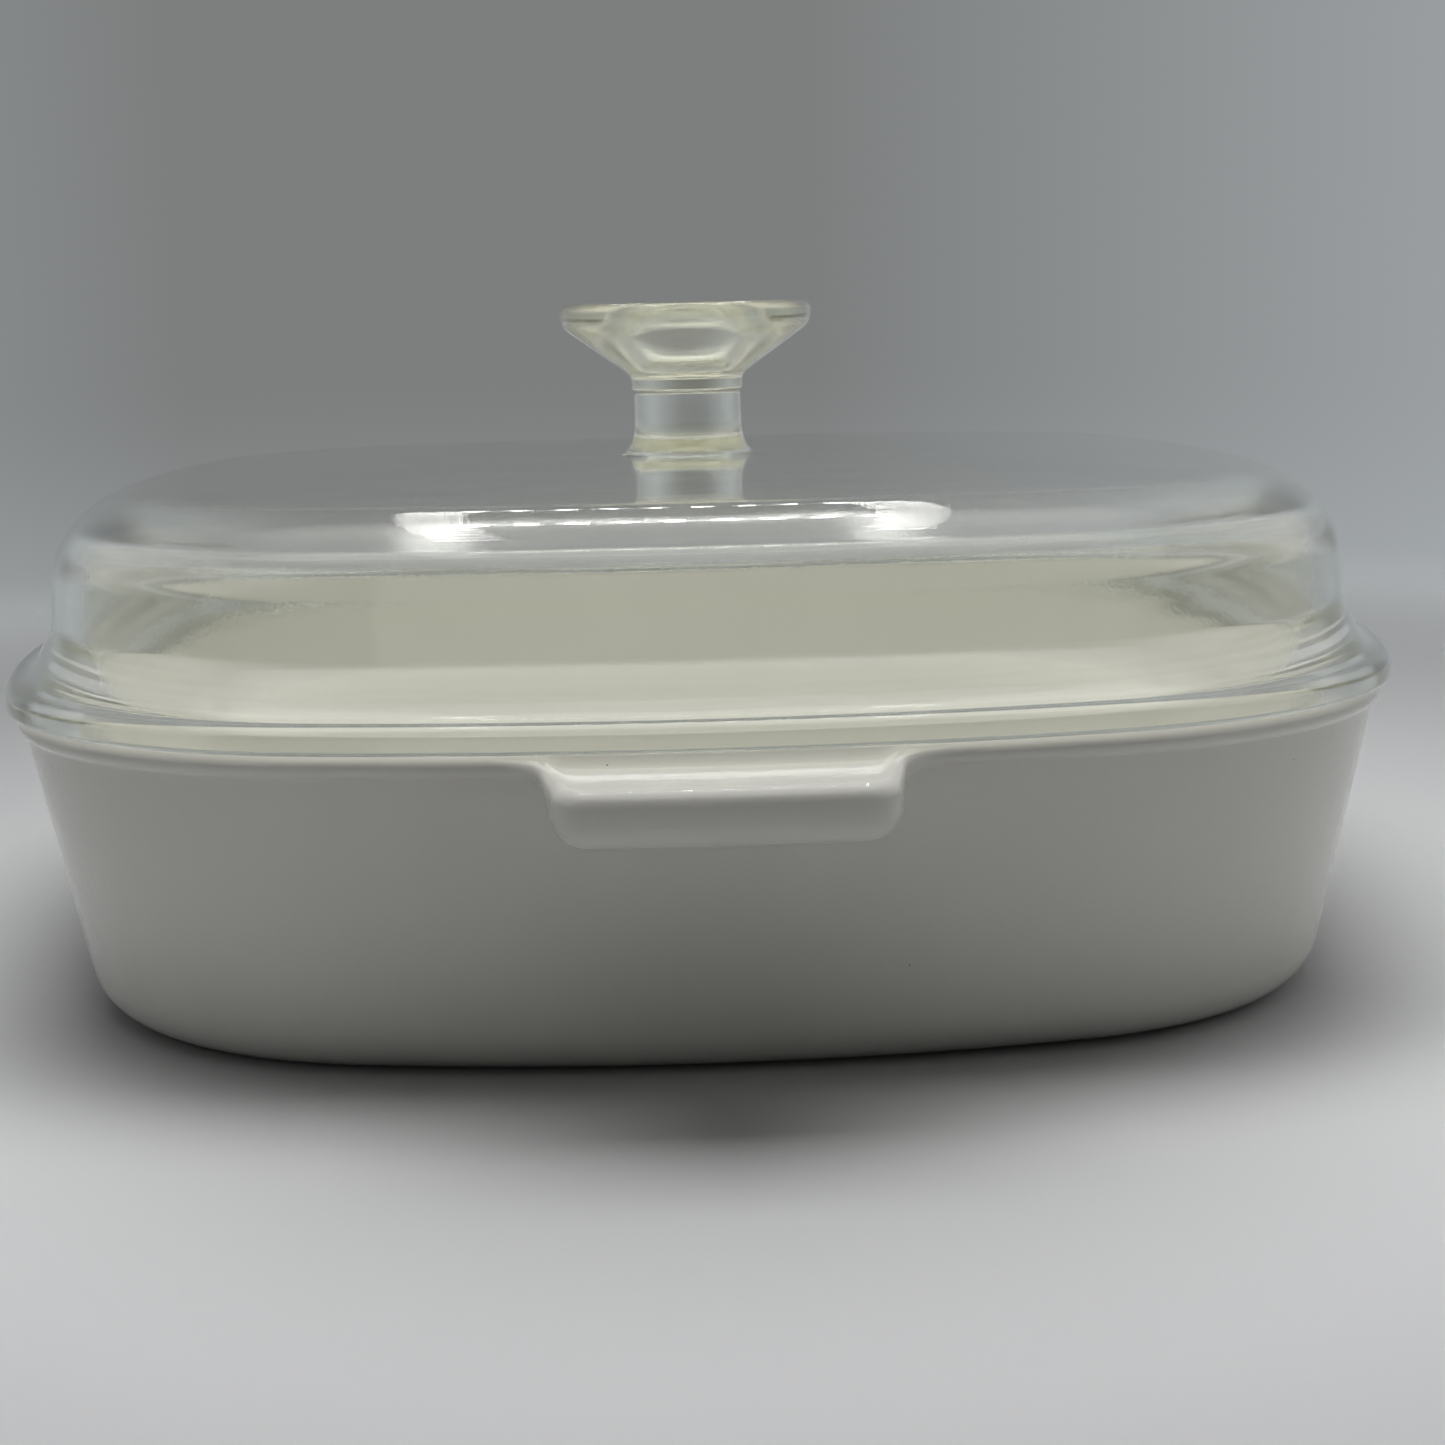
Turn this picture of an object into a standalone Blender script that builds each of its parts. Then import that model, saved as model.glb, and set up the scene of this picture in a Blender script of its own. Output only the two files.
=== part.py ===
"""Square covered casserole: a pressed glass-ceramic dish and a domed glass lid with a glass knob.

Units are metres and +Z is up. The origin is the middle of the dish's foot, the front tab handle
points to -Y, and the lid lifts off along +Z.
"""

import math
from dataclasses import dataclass

import bmesh
import bpy
from mathutils import Vector

# Plan of the dish's lip: a square with bowed sides and round corners
RIM_WIDTH = 0.254
SIDE_RADIUS = 0.310
CORNER_RADIUS = 0.073

# Dish
DISH_HEIGHT = 0.0545
DISH_WALL = 0.0050
DISH_FLOOR = 0.0050
DISH_DRAFT = math.radians(11.8)
LIP_RADIUS = 0.0019
LIP_PROUD = 0.0011
LIP_GROOVE = 0.0014
RIM_EDGE = 0.0012
FOOT_RADIUS = 0.0094
BASIN_RADIUS = 0.014

# Tab handles, pressed in one with the dish
TAB_FACE_WIDTH = 0.0380
TAB_REACH = 0.020
TAB_THICKNESS = 0.0092
TAB_DROP = 0.0020
TAB_CORNER_RADIUS = 0.0060
TAB_FLARE_RADIUS = 0.0090
TAB_SIDE_ANGLE = math.radians(76)
TAB_LOWER_EDGE = 0.0040
TAB_UPPER_EDGE = 0.0028
TAB_ROOT_FILLET = 0.0060

# Lid, seated on the dish's rim
SEAT_GAP = 0.0003
GLASS_WALL = 0.0052
GLASS_WALL_HEIGHT = 0.0170
CROWN_WALL = 0.0041
FLANGE_OVERHANG = 0.0020
FLANGE_FACE = 0.0048
FLANGE_LOWER_EDGE = 0.0010
FLANGE_UPPER_EDGE = 0.0020
FLANGE_RISE = 0.0024
RIB_DEPTH = 0.0035
RIB_CLEARANCE = 0.0008
RIB_EDGE = 0.0009
COVE_RISE = 0.0062
COVE_RUN = 0.0045
COVE_LEAN = math.radians(22)
DOME_SETBACK = 0.0057
DOME_DRAFT = math.radians(5.0)
INNER_DRAFT = math.radians(4.1)
DOME_HEIGHT = 0.0362
CROWN_RISE = 0.0018

# Shoulder of the lid: on each face a tighter arc off the wall, then a slower one on to the crown
OUTER_LOW_RADIUS = 0.0122
OUTER_HIGH_RADIUS = 0.0182
OUTER_TURN = math.radians(38)
INNER_LOW_RADIUS = 0.0061
INNER_HIGH_RADIUS = 0.0360
INNER_TURN = math.radians(66)

# Knob and the stub of the lid that carries it
STUB_RADIUS = 0.0106
STUB_HEIGHT = 0.0123
STUB_FLARE = 0.0042
STUB_FILLET = 0.0075
STUB_EDGE = 0.0006
KNOB_GAP = 0.0003
KNOB_RADIUS = 0.02475
KNOB_HEIGHT = 0.0171
KNOB_RIM = 0.0044
KNOB_RIM_EDGE = 0.0021
KNOB_DIMPLE_RADIUS = 0.0123
KNOB_DIMPLE_FLOOR = 0.0068
KNOB_DIMPLE_DEPTH = 0.0083
KNOB_DIMPLE_ROUND = 0.0020
COLLAR_PROUD = 0.0004
COLLAR_HEIGHT = 0.0030
COLLAR_EDGE = 0.0008

# Facets
CORNER_STEPS = 9
PLAIN_SIDE_STEPS = 6
TAB_ARC_STEPS = 4
EDGE_STEPS = 2
BEND_STEPS = 3
FOOT_STEPS = 4
SWEEP_STEPS = 5
TURN_STEPS = 36
CROWN_SHARES = (0.82, 0.60, 0.38)
SMOOTH_ANGLE = math.radians(40)
TURN_MERGE = 0.00001


@dataclass
class Station:
    """A place on the plan: the wall's arc, and the lip's outline, which a tab pushes outwards."""

    centre: Vector
    radius: float
    normal: Vector
    reach: float
    lip_normal: Vector

    def wall_point(self, inset, height):
        """The point inset from the plain outline at this station, at this height."""
        place = self.centre + (self.radius - inset) * self.normal
        return Vector((place.x, place.y, height))

    def lip_point(self, inset, height):
        """The point inset from the lip's outline, tabs included, at this station and height."""
        place = self.centre + (self.radius + self.reach) * self.normal - inset * self.lip_normal
        return Vector((place.x, place.y, height))

    def tab_share(self):
        """0 on the plain lip and 1 on a tab's face, easing in and out along the flare."""
        share = self.reach / TAB_REACH
        return share**2 * (3 - 2 * share)


def facing(angle):
    """The unit vector at this angle from +X in plan."""
    return Vector((math.cos(angle), math.sin(angle)))


def plan_corner():
    """Distance of a corner arc's centre from both axes, and the angle where the side meets it."""
    bow = SIDE_RADIUS - RIM_WIDTH / 2
    span = SIDE_RADIUS - CORNER_RADIUS
    centre = (math.sqrt(2 * span**2 - bow**2) - bow) / 2
    return centre, math.atan2(centre, bow + centre)


def tab_outline():
    """Half of a tab's plan from its middle outwards, as (distance along the rim, reach, turn).

    The face turns through a round corner into the side, and the side flares out into the rim.
    The turn is the angle of the outline's normal away from the rim's own.
    """
    half_face = TAB_FACE_WIDTH / 2
    turns = [TAB_SIDE_ANGLE * step / TAB_ARC_STEPS for step in range(TAB_ARC_STEPS + 1)]
    radii = TAB_CORNER_RADIUS + TAB_FLARE_RADIUS
    side_reach = TAB_REACH - radii * (1 - math.cos(TAB_SIDE_ANGLE))
    side_run = side_reach / math.tan(TAB_SIDE_ANGLE)
    flare_end = half_face + radii * math.sin(TAB_SIDE_ANGLE) + side_run
    places = [(0.0, TAB_REACH, 0.0), (half_face / 2, TAB_REACH, 0.0)]
    for turn in turns:
        along = half_face + TAB_CORNER_RADIUS * math.sin(turn)
        places.append((along, TAB_REACH - TAB_CORNER_RADIUS * (1 - math.cos(turn)), turn))
    for turn in reversed(turns):
        along = flare_end - TAB_FLARE_RADIUS * math.sin(turn)
        places.append((along, TAB_FLARE_RADIUS * (1 - math.cos(turn)), turn))
    return places


def side_places(limit, with_tab):
    """(angle, reach, turn) along one bowed side, from its left end to its right end."""
    if not with_tab:
        steps = range(PLAIN_SIDE_STEPS + 1)
        return [(limit * (2 * step / PLAIN_SIDE_STEPS - 1), 0.0, 0.0) for step in steps]
    half = [(along / SIDE_RADIUS, reach, turn) for along, reach, turn in tab_outline()]
    flare_end = half[-1][0]
    half += [((flare_end + limit) / 2, 0.0, 0.0), (limit, 0.0, 0.0)]
    return [(-angle, reach, -turn) for angle, reach, turn in half[:0:-1]] + half


def plan(with_tabs):
    """Stations round the plan, counterclockwise from the front side's left end."""
    corner, limit = plan_corner()
    stations = []
    for quarter in range(4):
        heading = (quarter - 1) * math.pi / 2
        side_centre = (RIM_WIDTH / 2 - SIDE_RADIUS) * facing(heading)
        for angle, reach, turn in side_places(limit, with_tabs and quarter % 2 == 0):
            normal = facing(heading + angle)
            lip_normal = facing(heading + angle + turn)
            stations.append(Station(side_centre, SIDE_RADIUS, normal, reach, lip_normal))
        corner_centre = corner * (facing(heading) + facing(heading + math.pi / 2))
        for step in range(1, CORNER_STEPS):
            normal = facing(heading + limit + (math.pi / 2 - 2 * limit) * step / CORNER_STEPS)
            stations.append(Station(corner_centre, CORNER_RADIUS, normal, 0.0, normal))
    return stations


def arc(inset, height, radius, start, end, steps):
    """Points of an arc in a section; angle 0 points out of the wall and 90 degrees points up."""
    angles = [start + (end - start) * step / steps for step in range(steps + 1)]
    return [(inset - radius * math.cos(a), height + radius * math.sin(a)) for a in angles]


def bend(first, corner, last, steps):
    """Points of a smooth bend from first to last that leaves and arrives towards corner."""
    points = []
    for step in range(steps + 1):
        t = step / steps
        weights = ((1 - t) ** 2, 2 * t * (1 - t), t**2)
        ends = (first, corner, last)
        points.append(tuple(sum(w * p[k] for w, p in zip(weights, ends)) for k in (0, 1)))
    return points


def dish_wall_inset(height):
    """Inset of the dish's outer wall at this height; the wall starts under the lip bead."""
    return LIP_PROUD + (DISH_HEIGHT - 2 * LIP_RADIUS - height) * math.tan(DISH_DRAFT)


def dish_inner_inset(height):
    """Inset of the dish's inner wall at this height."""
    return dish_wall_inset(height) + DISH_WALL / math.cos(DISH_DRAFT)


def lip_section():
    """The plain lip's outer section, from the wall below a tab's root up over the lip bead."""
    root_height = DISH_HEIGHT - TAB_DROP - TAB_THICKNESS - TAB_ROOT_FILLET
    root = (dish_wall_inset(root_height), root_height)
    bead_foot = DISH_HEIGHT - 2 * LIP_RADIUS
    groove = (dish_wall_inset(bead_foot - LIP_GROOVE), bead_foot - LIP_GROOVE)
    middle = tuple((a + b) / 2 for a, b in zip(root, groove))
    centre = DISH_HEIGHT - LIP_RADIUS
    bead_steps = 3 * EDGE_STEPS + 1
    bead = arc(LIP_RADIUS, centre, LIP_RADIUS, -math.pi / 3, math.pi / 2, bead_steps)
    return [root, middle] + bend(groove, (LIP_PROUD, bead_foot), bead[0], EDGE_STEPS) + bead[1:]


def tab_section(root, land):
    """A tab's section from the wall's root to the rim's land: its underside, its edges, its riser.

    The underside's root and the riser belong to the wall, the edges follow the tab's outline.
    """
    top = DISH_HEIGHT - TAB_DROP
    underside = top - TAB_THICKNESS
    wall = dish_wall_inset(underside)
    under = bend(root, (wall, underside), (wall - TAB_ROOT_FILLET, underside), EDGE_STEPS)
    lower_centre = underside + TAB_LOWER_EDGE
    edges = arc(TAB_LOWER_EDGE, lower_centre, TAB_LOWER_EDGE, -math.pi / 2, 0, EDGE_STEPS)
    upper_centre = top - TAB_UPPER_EDGE
    edges += arc(TAB_UPPER_EDGE, upper_centre, TAB_UPPER_EDGE, 0, math.pi / 2, EDGE_STEPS)
    riser = bend((-TAB_DROP / 2, top), (LIP_RADIUS / 2, top), land, EDGE_STEPS)
    return under, edges, riser


def lip_rings(stations):
    """Rings of the lip, blending from the plain bead to the tab's section along each flare."""
    plain = lip_section()
    under, edges, riser = tab_section(plain[0], plain[-1])
    on_lip = range(len(under), len(under) + len(edges))
    rings = []
    for k, (bead_spot, tab_spot) in enumerate(zip(plain, under + edges + riser)):
        ring = []
        for s in stations:
            spot = [b + s.tab_share() * (t - b) for b, t in zip(bead_spot, tab_spot)]
            ring.append(s.lip_point(*spot) if k in on_lip else s.wall_point(*spot))
        rings.append(ring)
    return rings


def dish_rings():
    """Rings of the dish from the edge of its foot, up outside, over the rim and down inside."""
    foot_rise = FOOT_RADIUS * (1 - math.sin(DISH_DRAFT))
    foot_inset = dish_wall_inset(foot_rise) + FOOT_RADIUS * math.cos(DISH_DRAFT)
    foot = arc(foot_inset, FOOT_RADIUS, FOOT_RADIUS, -math.pi / 2, -DISH_DRAFT, FOOT_STEPS)
    rim_inner = dish_inner_inset(DISH_HEIGHT)
    rim_foot = DISH_HEIGHT - RIM_EDGE
    rim = bend(
        (rim_inner - RIM_EDGE, DISH_HEIGHT),
        (rim_inner, DISH_HEIGHT),
        (dish_inner_inset(rim_foot), rim_foot),
        EDGE_STEPS,
    )
    basin_rise = DISH_FLOOR + BASIN_RADIUS * (1 - math.sin(DISH_DRAFT))
    basin_inset = dish_inner_inset(basin_rise) + BASIN_RADIUS * math.cos(DISH_DRAFT)
    basin_centre = DISH_FLOOR + BASIN_RADIUS
    basin = arc(basin_inset, basin_centre, BASIN_RADIUS, -DISH_DRAFT, -math.pi / 2, SWEEP_STEPS)
    stations = plan(with_tabs=True)
    rings = [[s.wall_point(*spot) for s in stations] for spot in foot]
    rings += lip_rings(stations)
    rings += [[s.wall_point(*spot) for s in stations] for spot in rim + basin]
    return rings


def dome_wall_inset(height):
    """Inset of the dome's outer wall at this height over the seat."""
    return DOME_SETBACK + (height - FLANGE_FACE - FLANGE_RISE) * math.tan(DOME_DRAFT)


def dome_inner_inset(height):
    """Inset of the dome's inner wall at this height over the seat."""
    reach = (height - GLASS_WALL_HEIGHT) * math.tan(INNER_DRAFT)
    return dome_wall_inset(GLASS_WALL_HEIGHT) + GLASS_WALL + reach


def shoulder(wall_inset, draft, low, high, turn, top):
    """One face of the shoulder, from its wall through two arcs up to the edge of the crown."""
    crown_half = RIM_WIDTH / 2 - DOME_SETBACK - OUTER_HIGH_RADIUS
    end = math.pi / 2 - math.atan2(2 * CROWN_RISE, crown_half)
    high_height = top - high * math.sin(end)
    low_height = high_height + (high - low) * math.sin(turn)
    low_inset = wall_inset(low_height + low * math.sin(draft)) + low * math.cos(draft)
    high_inset = low_inset + (high - low) * math.cos(turn)
    first = arc(low_inset, low_height, low, draft, turn, BEND_STEPS)
    return first + arc(high_inset, high_height, high, turn, end, SWEEP_STEPS)[1:]


def rib_section():
    """The rib that locates the lid inside the dish's rim, from its inner side to its outer side."""
    outer = dish_inner_inset(DISH_HEIGHT + SEAT_GAP - RIB_DEPTH) + RIB_CLEARANCE
    inner = dome_inner_inset(-RIB_DEPTH)
    edge_height = RIB_EDGE - RIB_DEPTH
    inner_start = (dome_inner_inset(edge_height), edge_height)
    inner_end = (inner - RIB_EDGE, -RIB_DEPTH)
    outer_start = (outer + RIB_EDGE, -RIB_DEPTH)
    outer_end = (outer, edge_height)
    rib = bend(inner_start, (inner, -RIB_DEPTH), inner_end, EDGE_STEPS)
    rib += bend(outer_start, (outer, -RIB_DEPTH), outer_end, EDGE_STEPS)
    return rib + [(outer, 0.0)]


def flange_section():
    """The flange's rounded edge, its sloping top and the cove up into the dome's wall."""
    lower_inset = FLANGE_LOWER_EDGE - FLANGE_OVERHANG
    upper_inset = FLANGE_UPPER_EDGE - FLANGE_OVERHANG
    upper_centre = FLANGE_FACE - FLANGE_UPPER_EDGE
    lower = arc(lower_inset, FLANGE_LOWER_EDGE, FLANGE_LOWER_EDGE, -math.pi / 2, 0, EDGE_STEPS)
    upper = arc(upper_inset, upper_centre, FLANGE_UPPER_EDGE, 0, math.pi / 2, BEND_STEPS)
    cove_foot = FLANGE_FACE + FLANGE_RISE
    cove_top = cove_foot + COVE_RISE
    slope = FLANGE_RISE / (DOME_SETBACK - upper_inset)
    cove_start = (DOME_SETBACK - COVE_RUN, cove_foot - slope * COVE_RUN)
    cove_end = (dome_wall_inset(cove_top), cove_top)
    lean = math.tan(COVE_LEAN)
    drop = cove_top - cove_foot + slope * DOME_SETBACK
    corner = (cove_end[0] - lean * drop) / (1 - lean * slope)
    cove_corner = (corner, cove_foot - slope * (DOME_SETBACK - corner))
    return lower + upper + bend(cove_start, cove_corner, cove_end, BEND_STEPS)


def lid_section():
    """The lid's wall from inside the shoulder, round the rib and flange, to the crown's edge."""
    inner = (INNER_DRAFT, INNER_LOW_RADIUS, INNER_HIGH_RADIUS, INNER_TURN)
    outer = (DOME_DRAFT, OUTER_LOW_RADIUS, OUTER_HIGH_RADIUS, OUTER_TURN)
    inside = shoulder(dome_inner_inset, *inner, DOME_HEIGHT - CROWN_WALL)
    outside = shoulder(dome_wall_inset, *outer, DOME_HEIGHT)
    return inside[::-1] + rib_section() + flange_section() + outside


def crown_rings(stations, edge, least_radius):
    """Rings of the crown from its bowed square edge inwards, turning round as they close in.

    Each ring lies at a share of the edge's size and rises as a shallow parabola.
    """
    inset, height = edge
    half = RIM_WIDTH / 2 - inset
    least = least_radius / half
    rings = []
    for share in (*CROWN_SHARES, least):
        roundness = ((1 - share) / (1 - least)) ** 2
        lift = CROWN_RISE * (1 - share**2)
        ring = []
        for s in stations:
            square = share * s.wall_point(inset, 0.0)
            circle = share * half * square.normalized()
            place = square.lerp(circle, roundness)
            ring.append(Vector((place.x, place.y, height + lift)))
        rings.append(ring)
    return rings


def stub_top():
    """Height of the stub's top over the seat."""
    return DOME_HEIGHT + CROWN_RISE + STUB_HEIGHT


def stub_section(foot_radius, foot_height):
    """(radius, height) up the stub, from the fillet on the crown to the edge of its flat top."""
    fillet_top = (STUB_RADIUS, foot_height + STUB_FILLET)
    foot = (foot_radius, foot_height)
    stub = bend(foot, (STUB_RADIUS, foot_height), fillet_top, BEND_STEPS)[1:]
    top = stub_top()
    edge_foot = (STUB_RADIUS, top - STUB_EDGE)
    edge_top = (STUB_RADIUS - STUB_EDGE, top)
    return stub + bend(edge_foot, (STUB_RADIUS, top), edge_top, EDGE_STEPS)


def lid_rings():
    """Rings of the lid from the middle of its ceiling, round the flange and up to the stub's top."""
    stations = plan(with_tabs=False)
    section = lid_section()
    foot = STUB_RADIUS + STUB_FLARE
    ceiling = crown_rings(stations, section[0], foot)
    crown = crown_rings(stations, section[-1], foot)
    rings = ceiling[::-1]
    rings += [[s.wall_point(*spot) for s in stations] for spot in section]
    rings += crown
    for radius, height in stub_section(foot, crown[-1][0].z):
        places = [radius * point.xy.normalized() for point in crown[-1]]
        rings.append([Vector((place.x, place.y, height)) for place in places])
    return rings


def dimple_profile():
    """(radius, height over the knob's foot) of the top's cone-sided dimple, from its middle out."""
    floor, soft = KNOB_HEIGHT - KNOB_DIMPLE_DEPTH, KNOB_DIMPLE_ROUND
    side = Vector((KNOB_DIMPLE_RADIUS - KNOB_DIMPLE_FLOOR, KNOB_DIMPLE_DEPTH)).normalized() * soft
    floor_start = (KNOB_DIMPLE_FLOOR - soft, floor)
    floor_end = (KNOB_DIMPLE_FLOOR + side.x, floor + side.y)
    side_end = (KNOB_DIMPLE_RADIUS - side.x, KNOB_HEIGHT - side.y)
    land = (KNOB_DIMPLE_RADIUS + soft, KNOB_HEIGHT)
    foot = bend(floor_start, (KNOB_DIMPLE_FLOOR, floor), floor_end, BEND_STEPS)
    return [(0.0, floor)] + foot + bend(side_end, (KNOB_DIMPLE_RADIUS, KNOB_HEIGHT), land, BEND_STEPS)


def knob_profile():
    """(radius, height over the knob's foot) from the top's middle outwards and down to the foot."""
    points = dimple_profile()
    rim_foot = KNOB_HEIGHT - KNOB_RIM
    collar = STUB_RADIUS + COLLAR_PROUD
    edge = KNOB_RIM_EDGE
    cone = Vector((collar - KNOB_RADIUS, COLLAR_HEIGHT - rim_foot)).normalized() * edge
    rim_top = (KNOB_RADIUS, KNOB_HEIGHT)
    rim_start = (KNOB_RADIUS - edge, KNOB_HEIGHT)
    points += bend(rim_start, rim_top, (KNOB_RADIUS, KNOB_HEIGHT - edge), BEND_STEPS)
    cone_start = (KNOB_RADIUS + cone.x, rim_foot + cone.y)
    cone_end = (collar - cone.x, COLLAR_HEIGHT - cone.y)
    points += bend((KNOB_RADIUS, rim_foot + edge), (KNOB_RADIUS, rim_foot), cone_start, BEND_STEPS)
    collar_top = (collar, COLLAR_HEIGHT)
    points += bend(cone_end, collar_top, (collar, COLLAR_HEIGHT - COLLAR_EDGE), EDGE_STEPS)
    collar_foot = (collar - COLLAR_EDGE, 0.0)
    points += bend((collar, COLLAR_EDGE), (collar, 0.0), collar_foot, EDGE_STEPS)
    return points + [(0.0, 0.0)]


def make_material(name, colour, roughness, transmission=0.0, ior=1.5):
    """A Principled material of one colour."""
    material = bpy.data.materials.new(name)
    material.use_nodes = True
    shader = material.node_tree.nodes["Principled BSDF"]
    shader.inputs["Base Color"].default_value = (*colour, 1.0)
    shader.inputs["Roughness"].default_value = roughness
    shader.inputs["Metallic"].default_value = 0.0
    shader.inputs["Transmission Weight"].default_value = transmission
    shader.inputs["IOR"].default_value = ior
    return material


def add_object(name, mesh, collection, material):
    """A smooth shaded object of this mesh, with its own material, in the collection."""
    mesh.materials.append(material)
    mesh.shade_smooth()
    mesh.set_sharp_from_angle(angle=SMOOTH_ANGLE)
    obj = bpy.data.objects.new(name, mesh)
    collection.objects.link(obj)
    return obj


def loft(name, rings, collection, material):
    """A closed solid lofted through rings of equal count, capped at its first and last ring."""
    shape = bmesh.new()
    loops = [[shape.verts.new(point) for point in ring] for ring in rings]
    for lower, upper in zip(loops, loops[1:]):
        for k in range(len(lower)):
            shape.faces.new((lower[k - 1], lower[k], upper[k], upper[k - 1]))
    shape.faces.new(reversed(loops[0]))
    shape.faces.new(loops[-1])
    mesh = bpy.data.meshes.new(name)
    shape.to_mesh(mesh)
    shape.free()
    return add_object(name, mesh, collection, material)


def turned(name, profile, collection, material):
    """A solid turned about Z from a profile that runs from the axis out, down and back to it."""
    mesh = bpy.data.meshes.new(name)
    points = [(radius, 0.0, height) for radius, height in profile]
    edges = [(k, k + 1) for k in range(len(points) - 1)]
    mesh.from_pydata(points, edges, [])
    obj = add_object(name, mesh, collection, material)
    screw = obj.modifiers.new("Turn", "SCREW")
    screw.axis = "Z"
    screw.steps = TURN_STEPS
    screw.render_steps = TURN_STEPS
    screw.use_merge_vertices = True
    screw.merge_threshold = TURN_MERGE
    screw.use_normal_calculate = True
    return obj


def main():
    """Clears the scene and builds the dish, the lid on its lift axis and the knob on the lid."""
    for obj in list(bpy.data.objects):
        bpy.data.objects.remove(obj)
    parts = bpy.data.collections.new("covered_casserole")
    bpy.context.scene.collection.children.link(parts)
    ceramic = make_material("white_glass_ceramic", (0.86, 0.86, 0.84), 0.12)
    glass = make_material("clear_lid_glass", (0.93, 0.95, 0.88), 0.03, 1.0, 1.47)
    knob_glass = make_material("clear_knob_glass", (0.92, 0.93, 0.85), 0.03, 1.0, 1.47)

    loft("dish", dish_rings(), parts, ceramic)

    lift = bpy.data.objects.new("lid_lift", None)
    lift.location = (0.0, 0.0, DISH_HEIGHT)
    parts.objects.link(lift)
    lid = loft("lid", lid_rings(), parts, glass)
    lid.parent = lift
    lid.location = (0.0, 0.0, SEAT_GAP)
    knob = turned("lid_knob", knob_profile(), parts, knob_glass)
    knob.parent = lid
    knob.location = (0.0, 0.0, stub_top() + KNOB_GAP)


main()
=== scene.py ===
"""Dressed model of a square covered casserole: a white glass-ceramic dish and a clear glass lid.

Every piece is lofted or turned from named sizes in metres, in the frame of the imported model.
"""

import logging
from collections.abc import Callable
from dataclasses import dataclass
from enum import Enum
from math import atan2, cos, pi, radians, sin, sqrt, tan, tau
from typing import Any

import bpy
import numpy as np
from bpy.types import Material, Mesh, Node, NodeOutputs, NodeSocket, NodeTree, Object
from mathutils import Matrix, Vector


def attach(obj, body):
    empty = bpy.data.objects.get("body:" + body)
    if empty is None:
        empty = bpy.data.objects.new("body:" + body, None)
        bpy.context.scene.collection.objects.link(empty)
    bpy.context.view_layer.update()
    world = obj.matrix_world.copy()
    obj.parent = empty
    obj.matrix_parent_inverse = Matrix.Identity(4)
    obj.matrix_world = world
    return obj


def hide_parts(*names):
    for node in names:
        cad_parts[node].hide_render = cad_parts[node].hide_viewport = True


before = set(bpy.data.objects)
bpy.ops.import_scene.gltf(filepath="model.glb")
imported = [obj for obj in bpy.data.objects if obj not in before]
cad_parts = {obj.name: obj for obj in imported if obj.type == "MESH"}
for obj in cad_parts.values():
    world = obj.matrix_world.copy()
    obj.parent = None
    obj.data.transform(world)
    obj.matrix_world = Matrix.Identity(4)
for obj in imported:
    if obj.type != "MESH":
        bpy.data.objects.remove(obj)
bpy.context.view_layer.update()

LOG = logging.getLogger("casserole")
PHOTO_PIXELS = 1445
GLASS_BOUNCES = 48
HALF_BOUNCE = 0.5
MIX_FACTOR, MIX_FIRST, MIX_SECOND, MIX_RESULT = 0, 6, 7, 2

Spot = tuple[float, float]
Place = tuple[float, float, float]
Colour = tuple[float, float, float]
Sockets = dict[str | int, Any]

NOISE_RANGE: Spot = (0.35, 0.75)
STRIP_INPUTS = {
    "Count": "Int",
    "First": "Vector",
    "Step": "Vector",
    "Diode Width": "Float",
    "Diode Depth": "Float",
}


class Body(Enum):
    """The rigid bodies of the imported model."""

    DISH = "dish"
    LID = "lid"


class Slot(Enum):
    """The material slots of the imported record."""

    CERAMIC = "white_glass_ceramic"
    LID_GLASS = "clear_lid_glass"
    KNOB_GLASS = "clear_knob_glass"


class Side(Enum):
    """The four sides of the plan, by the heading of their normals in quarter turns from +X."""

    FRONT = -1
    RIGHT = 0
    REAR = 1
    LEFT = 2


TAB_SIDES = (Side.FRONT, Side.REAR)


# Node trees


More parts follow.
